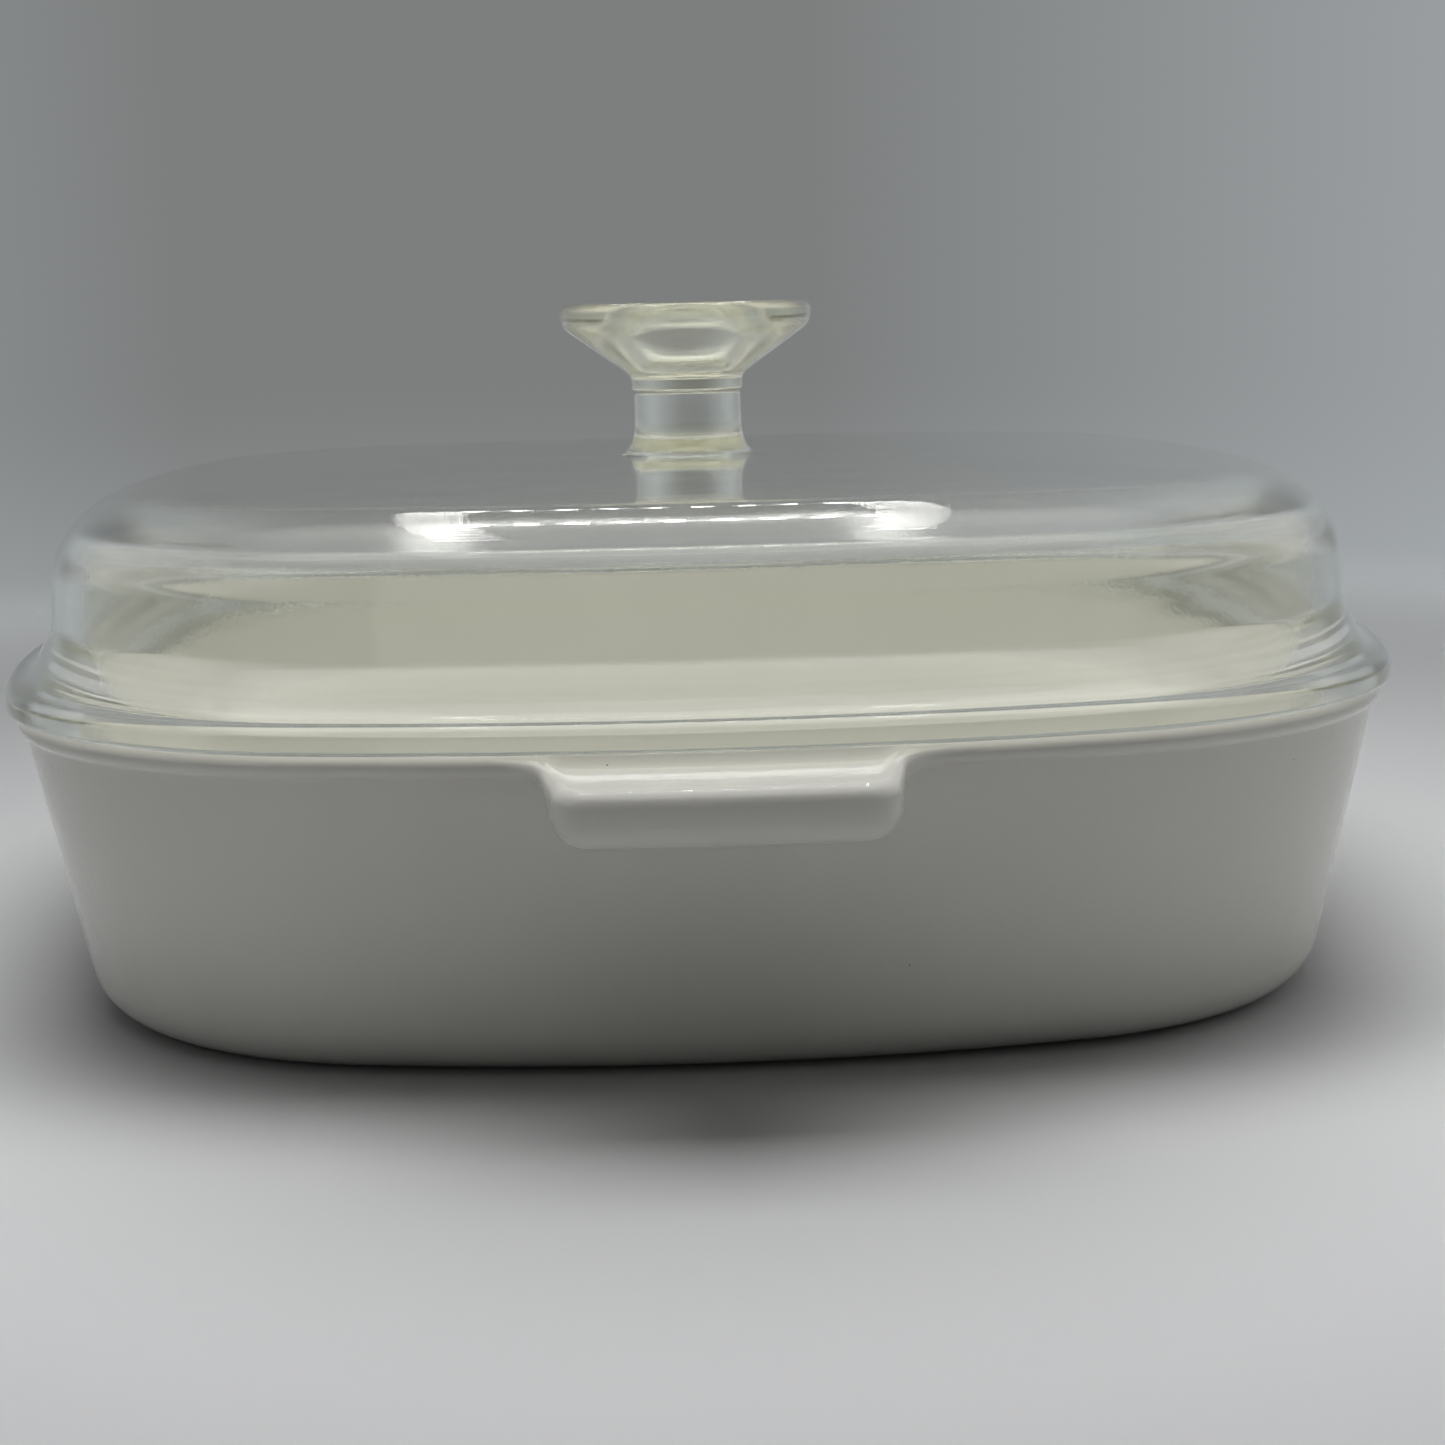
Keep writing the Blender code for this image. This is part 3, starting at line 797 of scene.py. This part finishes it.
@dataclass
class Lid:
    """The domed lid: a flange on the rim, a locating rib, a crown and the stub under the knob."""

    outline: Outline
    dish: Dish
    finish: GlassFinish
    seat_gap: float = 0.0003
    wall: float = 0.0052
    wall_height: float = 0.0170
    crown_wall: float = 0.0041
    flange_overhang: float = 0.0020
    flange_face: float = 0.0048
    flange_lower_edge: float = 0.0010
    flange_upper_edge: float = 0.0020
    flange_rise: float = 0.0024
    rib_depth: float = 0.0035
    rib_clearance: float = 0.0008
    rib_edge: float = 0.0009
    cove_rise: float = 0.0062
    cove_run: float = 0.0045
    cove_lean: float = radians(22)
    cove_blend: float = 0.0008
    dome_setback: float = 0.0057
    dome_draft: float = radians(5.0)
    inner_draft: float = radians(4.1)
    dome_height: float = 0.0362
    outer_shoulder: Shoulder = Shoulder(0.0122, 0.0182, radians(38))
    inner_shoulder: Shoulder = Shoulder(0.0061, 0.0360, radians(66))
    crown_rise: float = 0.0018
    stub_radius: float = 0.0106
    stub_height: float = 0.0123
    stub_flare: float = 0.0042
    stub_fillet: float = 0.0075
    stub_edge: float = 0.0006
    edge_steps: int = 7
    bend_steps: int = 12
    crown_steps: int = 28

    def seat(self) -> float:
        """Height of the lid's seat over the dish's foot."""
        return self.dish.height + self.seat_gap

    def outer_inset(self, height: float) -> float:
        """Inset of the dome's outer wall from the lip's outline, at a height over the seat."""
        rise = height - self.flange_face - self.flange_rise
        return self.dome_setback + rise * tan(self.dome_draft)

    def inner_inset(self, height: float) -> float:
        """Inset of the dome's inner wall from the lip's outline, at a height over the seat."""
        reach = (height - self.wall_height) * tan(self.inner_draft)
        return self.outer_inset(self.wall_height) + self.wall + reach

    def shoulder_faces(self) -> tuple[list[Spot], list[Spot]]:
        """The shoulder's two faces, each from its wall up to the edge of the crown.

        Returns:
            The points of the inner face and of the outer face.
        """
        crown_half = self.outline.rim_width / 2 - self.dome_setback - self.outer_shoulder.high
        end = pi / 2 - atan2(2 * self.crown_rise, crown_half)
        top, ceiling = self.dome_height, self.dome_height - self.crown_wall
        inside = self.inner_shoulder.section(self.inner_inset, self.inner_draft, end, ceiling)
        outside = self.outer_shoulder.section(self.outer_inset, self.dome_draft, end, top)
        return inside, outside

    def rib_section(self) -> list[Spot]:
        """The rib that locates the lid inside the rim, from its inner side to its outer side.

        Returns:
            The section's points.
        """
        edge, foot, steps = self.rib_edge, -self.rib_depth, self.edge_steps
        outer = self.dish.inner_inset(self.seat() + foot) + self.rib_clearance
        inner = self.inner_inset(foot)
        inner_start = (self.inner_inset(edge + foot), edge + foot)
        rib = bend(inner_start, (inner, foot), (inner - edge, foot), steps)
        rib += bend((outer + edge, foot), (outer, foot), (outer, edge + foot), steps)
        return rib + [(outer, 0.0)]

    def flange_section(self) -> list[Spot]:
        """The flange's rounded edge, its sloping top and the cove up into the dome's wall.

        Returns:
            The section's points.
        """
        low, high = self.flange_lower_edge, self.flange_upper_edge
        upper_inset = high - self.flange_overhang
        lower = arc((low - self.flange_overhang, low), low, -pi / 2, 0, self.edge_steps)
        upper = arc((upper_inset, self.flange_face - high), high, 0, pi / 2, self.bend_steps)
        cove_foot = self.flange_face + self.flange_rise
        cove_top = cove_foot + self.cove_rise
        slope = self.flange_rise / (self.dome_setback - upper_inset)
        cove_start = (self.dome_setback - self.cove_run, cove_foot - slope * self.cove_run)
        cove_end = (self.outer_inset(cove_top), cove_top)
        lean = tan(self.cove_lean)
        drop = cove_top - cove_foot + slope * self.dome_setback
        corner = (cove_end[0] - lean * drop) / (1 - lean * slope)
        cove_corner = (corner, cove_foot - slope * (self.dome_setback - corner))
        cove = bend(cove_start, cove_corner, cove_end, self.bend_steps)
        blend = (self.outer_inset(cove_top + self.cove_blend), cove_top + self.cove_blend)
        return lower + upper + cove + [blend]

    def section(self) -> list[Spot]:
        """The lid's wall from inside the shoulder, round rib and flange, to the crown's edge."""
        inside, outside = self.shoulder_faces()
        return inside[::-1] + self.rib_section() + self.flange_section() + outside

    def crown_rings(self, stations: Stations, edge: Spot, least_radius: float) -> list[np.ndarray]:
        """Rings of the crown from its bowed square edge inwards, turning round as they close in.

        Args:
            stations: the places round the plan.
            edge: the crown's edge in the section.
            least_radius: the radius of the innermost ring.

        Returns:
            The rings, each at a share of the edge's size, rising as a shallow parabola.
        """
        half = self.outline.rim_width / 2 - edge[0]
        least = least_radius / half
        rim = stations.wall(edge[0], 0.0)
        round_rim = half * rim / np.linalg.norm(rim, axis=1)[:, None]
        rings = []
        for share in np.linspace(1.0, least, self.crown_steps + 1)[1:]:
            roundness = ((1 - share) / (1 - least)) ** 2
            ring = share * (rim + roundness * (round_rim - rim))
            ring[:, 2] = edge[1] + self.crown_rise * (1 - share**2)
            rings.append(ring)
        return rings

    def stub_top(self) -> float:
        """Height of the stub's top over the seat."""
        return self.dome_height + self.crown_rise + self.stub_height

    def stub_rings(self, foot: np.ndarray) -> list[np.ndarray]:
        """Rings up the stub, from the fillet on the crown to the edge of its flat top.

        Args:
            foot: the crown's innermost ring.

        Returns:
            The rings.
        """
        way = foot[:, :2] / np.linalg.norm(foot[:, :2], axis=1)[:, None]
        base, top, radius, edge = foot[0, 2], self.stub_top(), self.stub_radius, self.stub_edge
        foot_radius = np.linalg.norm(foot[0, :2])
        fillet_top = (radius, base + self.stub_fillet)
        section = bend((foot_radius, base), (radius, base), fillet_top, self.bend_steps)[1:]
        section += bend((radius, top - edge), (radius, top), (radius - edge, top), self.edge_steps)
        return [np.column_stack((r * way, np.full(len(way), z))) for r, z in section]

    def rings(self) -> list[np.ndarray]:
        """Rings of the lid from the middle of its ceiling, round the flange, to the stub's top.

        Returns:
            The rings, at their places over the dish.
        """
        stations = self.outline.stations()
        section = self.section()
        foot = self.stub_radius + self.stub_flare
        ceiling = self.crown_rings(stations, section[0], self.stub_edge)
        crown = self.crown_rings(stations, section[-1], foot)
        rings = ceiling[::-1] + [stations.wall(*spot) for spot in section] + crown
        rings += self.stub_rings(crown[-1])
        return [ring + (0.0, 0.0, self.seat()) for ring in rings]

    def build(self) -> Object:
        """Builds the lid."""
        mesh = loft("lid_dome", self.rings())
        return place_piece("lid_dome", mesh, Body.LID, ["lid"])

    def dress(self, piece: Object) -> None:
        """Makes the built lid glass."""
        piece.data.materials.append(self.finish.material())


# The knob


@dataclass
class Knob:
    """The turned knob: a flared bowl with a dimpled top over a collar on the lid's stub."""

    lid: Lid
    finish: GlassFinish
    gap: float = 0.0003
    radius: float = 0.02475
    height: float = 0.0171
    rim: float = 0.0044
    rim_edge: float = 0.0021
    dimple_radius: float = 0.0123
    dimple_floor: float = 0.0068
    dimple_depth: float = 0.0083
    dimple_round: float = 0.0020
    collar_proud: float = 0.0004
    collar_height: float = 0.0030
    collar_edge: float = 0.0008
    edge_steps: int = 14
    profile_points: int = 320
    turn_points: int = 161
    merge: float = 1e-6

    def profile(self) -> list[Spot]:
        """The section from the top's middle outwards and down to the foot's middle.

        Returns:
            The points as (radius, height over the knob's foot).
        """
        rim_foot, edge, steps = self.height - self.rim, self.rim_edge, self.edge_steps
        floor, top, soft = self.height - self.dimple_depth, self.height, self.dimple_round
        low, high = self.dimple_floor, self.dimple_radius
        side = Vector((high - low, self.dimple_depth)).normalized() * soft
        floor_end, side_end = (low + side.x, floor + side.y), (high - side.x, top - side.y)
        points = [(0.0, floor)] + bend((low - soft, floor), (low, floor), floor_end, steps)
        points += bend(side_end, (high, top), (high + soft, top), steps)
        collar = self.lid.stub_radius + self.collar_proud
        cone = Vector((collar - self.radius, self.collar_height - rim_foot)).normalized() * edge
        rim_start, rim_end = (self.radius - edge, self.height), (self.radius, self.height - edge)
        points += bend(rim_start, (self.radius, self.height), rim_end, steps)
        cone_start = (self.radius + cone.x, rim_foot + cone.y)
        points += bend((self.radius, rim_foot + edge), (self.radius, rim_foot), cone_start, steps)
        cone_end = (collar - cone.x, self.collar_height - cone.y)
        collar_top = (collar, self.collar_height - self.collar_edge)
        points += bend(cone_end, (collar, self.collar_height), collar_top, steps)
        foot_start, foot_end = (collar, self.collar_edge), (collar - self.collar_edge, 0.0)
        points += bend(foot_start, (collar, 0.0), foot_end, steps)
        return points + [(0.0, 0.0)]

    def tree(self) -> NodeTree:
        """Geometry Nodes that turn a profile about Z.

        Returns:
            The tree, with its named inputs.
        """
        write = ShapeWriter("turned_knob", {"Profile": "Geometry", "Along": "Int", "Round": "Int"})
        curve = write.add("GeometryNodeMeshToCurve", {0: write.given["Profile"]})
        counts = {"Vertices X": write.given["Along"], "Vertices Y": write.given["Round"]}
        sheet = write.add("GeometryNodeMeshGrid", {"Size X": 1.0, "Size Y": 1.0} | counts)
        place = write.add("GeometryNodeInputPosition")
        split = write.add("ShaderNodeSeparateXYZ", {0: place.outputs[0]})
        along = write.math("ADD", split.outputs["X"], 0.5)
        turn = write.math("MULTIPLY_ADD", split.outputs["Y"], tau, pi)
        sample = write.add("GeometryNodeSampleCurve", {"Curves": curve.outputs[0], "Factor": along})
        swing = {"Vector": sample.outputs["Position"], "Angle": turn}
        turned = write.add("ShaderNodeVectorRotate", swing, rotation_type="Z_AXIS").outputs[0]
        moved = {0: sheet.outputs[0], "Position": turned}
        shaped = write.add("GeometryNodeSetPosition", moved).outputs[0]
        closed = write.add("GeometryNodeMergeByDistance", {0: shaped, "Distance": self.merge})
        return write.end(closed.outputs[0])

    def build(self) -> Object:
        """Builds the knob over the stub.

        Returns:
            The piece.
        """
        foot = self.lid.seat() + self.lid.stub_top() + self.gap
        points = [(radius, 0.0, foot + height) for radius, height in self.profile()]
        line = bpy.data.meshes.new("knob_profile")
        line.from_pydata(points, [(k, k + 1) for k in range(len(points) - 1)], [])
        inputs = {"Along": self.profile_points, "Round": self.turn_points}
        inputs |= {"Material": self.finish.material()}
        mesh = evaluated_mesh("lid_knob_glass", line, self.tree(), inputs)
        return place_piece("lid_knob_glass", mesh, Body.LID, ["lid_knob"])

    def dress(self, piece: Object) -> None:
        """Smooths the built knob; the tree has set the glass already."""
        piece.data.shade_smooth()


def evaluated_mesh(
    name: str, base: Mesh, tree: NodeTree, inputs: dict[str, Any]
) -> Mesh:
    """Runs a Geometry Nodes tree and keeps its result as a plain mesh.

    Args:
        name: the new mesh's name.
        base: the mesh that the tree starts from.
        tree: the tree.
        inputs: values of its named inputs.

    Returns:
        The plain mesh.
    """
    holder = linked(f"{name}_holder", base)
    modifier = holder.modifiers.new("Nodes", "NODES")
    modifier.node_group = tree
    for item in tree.interface.items_tree:
        if item.item_type == "SOCKET" and item.in_out == "INPUT" and item.name in inputs:
            modifier[item.identifier] = inputs[item.name]
    graph = bpy.context.evaluated_depsgraph_get()
    mesh = bpy.data.meshes.new_from_object(holder.evaluated_get(graph), depsgraph=graph)
    mesh.name = name
    bpy.data.objects.remove(holder)
    return mesh


# The studio


@dataclass(frozen=True)
class DiodeStrip:
    """A straight run of flat diodes."""

    name: str
    first: Place
    last: Place
    count: int
    diode: Spot

    def inputs(self) -> dict[str, Any]:
        """The strip as values by the names of the tree's inputs."""
        step = (np.array(self.last) - np.array(self.first)) / (self.count - 1)
        return dict(zip(STRIP_INPUTS, (self.count, self.first, tuple(step.tolist()), *self.diode)))


@dataclass
class DiodePanel:
    """The diodes over and behind the dish: two rows across, and fine bars at either side."""

    finish: DiodeFinish
    front: Spot = (-0.08, 0.437)
    middle: Spot = (0.067, 0.437)
    back: Spot = (0.448, 0.437)
    row_half: float = 0.084
    row_count: int = 9
    row_diode: Spot = (0.0075, 0.018)
    side_place: float = 0.101
    side_counts: tuple[int, int] = (7, 15)
    side_diode: Spot = (0.030, 0.0022)

    def tree(self) -> NodeTree:
        """Geometry Nodes that lay flat diodes out along a line.

        Returns:
            The tree, with its named inputs.
        """
        write = ShapeWriter("diode_strip", STRIP_INPUTS)
        given = write.given
        run = {"Count": given["Count"], "Start Location": given["First"], "Offset": given["Step"]}
        points = write.add("GeometryNodeMeshLine", run)
        flat = {"Size X": given["Diode Width"], "Size Y": given["Diode Depth"]}
        diode = write.add("GeometryNodeMeshGrid", flat | {"Vertices X": 2, "Vertices Y": 2})
        copies = {"Points": points.outputs[0], "Instance": diode.outputs[0]}
        return write.end(write.add("GeometryNodeInstanceOnPoints", copies).outputs[0])

    def strips(self) -> list[DiodeStrip]:
        """Lays the panel out.

        Returns:
            Its strips.
        """
        strips, half = [], self.row_half
        for name, at in (("front_row", self.middle), ("back_row", self.back)):
            ends = (-half, *at), (half, *at)
            strips.append(DiodeStrip(name, *ends, self.row_count, self.row_diode))
        near, far = self.side_counts
        runs = (("near", self.front, self.middle, near), ("far", self.middle, self.back, far))
        for name, x in (("left", -self.side_place), ("right", self.side_place)):
            for part, start, end, count in runs:
                ends = (x, *start), (x, *end)
                strips.append(DiodeStrip(f"{name}_{part}", *ends, count, self.side_diode))
        return strips

    def build(self) -> None:
        """Builds the strips, which only gloss and glass show."""
        tree, material = self.tree(), {"Material": self.finish.material()}
        for strip in self.strips():
            base = bpy.data.meshes.new(f"{strip.name}_base")
            mesh = evaluated_mesh(f"diodes_{strip.name}", base, tree, strip.inputs() | material)
            panel = linked(mesh.name, mesh)
            panel.visible_camera = panel.visible_diffuse = panel.visible_shadow = False


@dataclass(frozen=True)
class SoftLamp:
    """One large soft lamp that aims at the dish and isn't seen itself."""

    name: str
    place: Place
    size: Spot
    power: float
    aim: Place = (0.0, 0.0, 0.04)

    def build(self) -> None:
        """Adds the lamp."""
        data = bpy.data.lights.new(self.name, "AREA")
        data.shape = "RECTANGLE"
        data.size, data.size_y = self.size
        data.energy = self.power
        lamp = linked(self.name, data)
        lamp.location = self.place
        way = Vector(self.aim) - Vector(self.place)
        lamp.rotation_euler = way.to_track_quat("-Z", "Y").to_euler()
        lamp.visible_camera = lamp.visible_glossy = lamp.visible_transmission = False


@dataclass
class Studio:
    """The pale floor, the lamps and the grey surroundings."""

    floor: FloorFinish
    panel: DiodePanel
    lamps: tuple[SoftLamp, ...]
    floor_radius: float = 1.2
    floor_sides: int = 96
    ambient: Colour = (0.03, 0.03, 0.03)
    backdrop: Colour = (0.205, 0.212, 0.212)
    backdrop_low: Colour = (0.40, 0.42, 0.43)
    backdrop_side: Colour = (0.42, 0.45, 0.47)
    backdrop_front: Colour = (0.075, 0.07, 0.06)
    low_range: Spot = (-0.20, -0.02)
    side_middle: float = -0.04
    side_range: Spot = (0.12, 0.55)
    far_range: Spot = (0.50, 0.95)
    far_share: float = 0.25
    front_range: Spot = (-0.55, 0.15)
    glow: Colour = (0.7, 0.7, 0.7)
    glow_way: Place = (0.77, 0.25, 0.59)
    glow_range: Spot = (0.80, 0.98)
    overhead: Colour = (1.3, 1.3, 1.27)
    overhead_range: Spot = (0.78, 0.94)

    def build_floor(self) -> None:
        """Adds the round floor."""
        turns = np.linspace(0.0, tau, self.floor_sides, endpoint=False)
        points = [(*(self.floor_radius * facing(turn)), 0.0) for turn in turns]
        mesh = bpy.data.meshes.new("studio_floor")
        mesh.from_pydata(points, [], [tuple(range(self.floor_sides))])
        mesh.materials.append(self.floor.material())
        linked("studio_floor", mesh)

    def build_world(self) -> None:
        """Writes the surroundings: a grey sweep to eye, gloss and glass, and a weak even light."""
        world = bpy.data.worlds.new("studio_world")
        bpy.context.scene.world = world
        world.use_nodes = True
        write = NodeWriter(world.node_tree)
        shader = world.node_tree.nodes["Background"]
        way = write.add("ShaderNodeTexCoord").outputs["Generated"]
        split = write.add("ShaderNodeSeparateXYZ", {0: way}).outputs
        low = write.span(split["Z"], self.low_range, (1.0, 0.0), smooth=True)
        across = write.math("ABSOLUTE", write.math("SUBTRACT", split["X"], self.side_middle))
        far = write.span(across, self.far_range, (1.0, self.far_share))
        side = write.math("MULTIPLY", write.span(across, self.side_range), far)
        sweep = write.blend(low, self.backdrop, self.backdrop_low)
        sweep = write.blend(side, sweep, self.backdrop_side)
        camera_ray = write.add("ShaderNodeLightPath").outputs["Is Camera Ray"]
        front = write.span(split["Y"], self.front_range, (1.0, 0.0), smooth=True)
        front = write.math("MULTIPLY", front, write.math("SUBTRACT", 1.0, camera_ray))
        sweep = write.blend(front, sweep, self.backdrop_front)
        folded = write.vector("ABSOLUTE", way)[0]
        towards = write.vector("DOT_PRODUCT", folded, self.glow_way)["Value"]
        sweep = write.blend(write.span(towards, self.glow_range, smooth=True), sweep, self.glow)
        above = write.span(split["Z"], self.overhead_range, smooth=True)
        sweep = write.blend(above, sweep, self.overhead)
        colour = write.blend(write.unscattered(), self.ambient, sweep)
        write.feed(shader, {"Color": colour, "Strength": 1.0})

    def build(self) -> None:
        """Adds the floor, the lamps, the diodes and the surroundings."""
        self.build_floor()
        self.build_world()
        for lamp in self.lamps:
            lamp.build()
        self.panel.build()


@dataclass(frozen=True)
class PhotoCamera:
    """The photograph's camera, as fitted to the outlines of the dish and its lid."""

    azimuth: float = radians(-1.79)
    distance: float = 0.51049
    height: float = 0.12195
    yaw: float = radians(-0.62)
    pitch: float = radians(9.30)
    roll: float = radians(-1.32)
    focal_pixels: float = 2554.9
    sensor: float = 36.0
    clip_start: float = 0.01

    def build(self) -> None:
        """Adds the camera and makes it the scene's own."""
        data = bpy.data.cameras.new("photo_camera")
        data.sensor_width = self.sensor
        data.lens = self.sensor * self.focal_pixels / PHOTO_PIXELS
        data.clip_start = self.clip_start
        camera = linked("photo_camera", data)
        camera.matrix_world = (
            Matrix.Rotation(self.azimuth, 4, "Z")
            @ Matrix.Translation((0.0, -self.distance, self.height))
            @ Matrix.Rotation(self.yaw, 4, "Z")
            @ Matrix.Rotation(pi / 2 - self.pitch, 4, "X")
            @ Matrix.Rotation(self.roll, 4, "Z")
        )
        bpy.context.scene.camera = camera


def main() -> None:
    """Builds and dresses the dish, the lid and the knob, then sets up the studio and the camera."""
    logging.basicConfig(level=logging.INFO, format="%(name)s: %(message)s")
    bpy.context.scene.view_settings.view_transform = "Standard"
    cycles = bpy.context.scene.cycles
    cycles.max_bounces = cycles.glossy_bounces = cycles.transmission_bounces = GLASS_BOUNCES
    outline = Outline()
    dish = Dish(outline, CeramicFinish("glass_ceramic"))
    lid = Lid(outline, dish, GlassFinish("lid_glass"))
    knob = Knob(lid, GlassFinish("knob_glass", body=(0.84, 0.82, 0.62), density=24.0))
    for part in (dish, lid, knob):
        piece = part.build()
        part.dress(piece)
        LOG.info("%s: %d faces on %s", piece.name, len(piece.data.polygons), type(part).__name__)
    lamps = (
        SoftLamp("ceiling_lamp", (0.0, -0.02, 0.44), (0.46, 0.28), 1.60, aim=(0.0, -0.02, 0.0)),
        SoftLamp("right_lamp", (0.50, 0.10, 0.25), (0.40, 0.40), 0.22),
        SoftLamp("front_lamp", (0.0, -0.90, 0.35), (0.60, 0.40), 0.04),
    )
    Studio(FloorFinish("pale_floor"), DiodePanel(DiodeFinish("diode_glow")), lamps).build()
    PhotoCamera().build()


if __name__ == "__main__":
    main()
